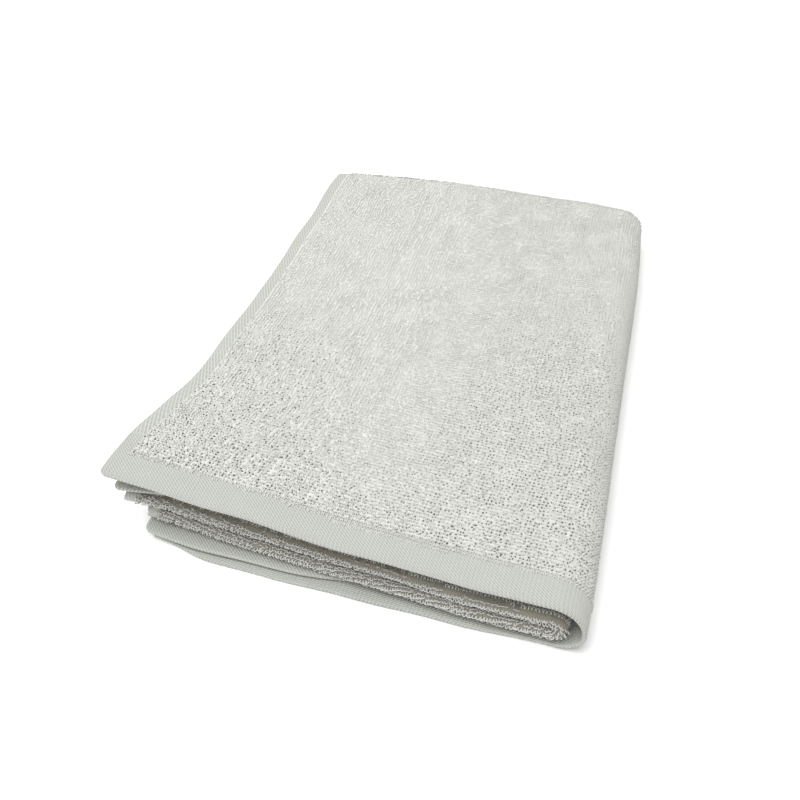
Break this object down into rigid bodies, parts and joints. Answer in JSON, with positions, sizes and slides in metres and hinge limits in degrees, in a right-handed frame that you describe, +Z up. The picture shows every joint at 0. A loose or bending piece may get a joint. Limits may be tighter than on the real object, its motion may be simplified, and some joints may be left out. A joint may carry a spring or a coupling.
{
  "type": "folded face towel",
  "caption": "Face towel of looped terry cloth with flat woven hems, folded into a low rectangular stack that lies flat, for drying the face and hands.",
  "frame": {"origin": "centre of the bottom of the folded stack, on the surface it lies on", "axes": "+X towards the folded right-hand side, +Y towards the folded back edge with the end hems at -Y, +Z up"},
  "size_m": [0.1684, 0.23, 0.0365],
  "materials": {
    "terry_cloth": "undyed looped cotton pile with flat twill-woven hems"
  },
  "bodies": {
    "root": {"towel_cloth": "terry_cloth"}
  },
  "joints": []
}
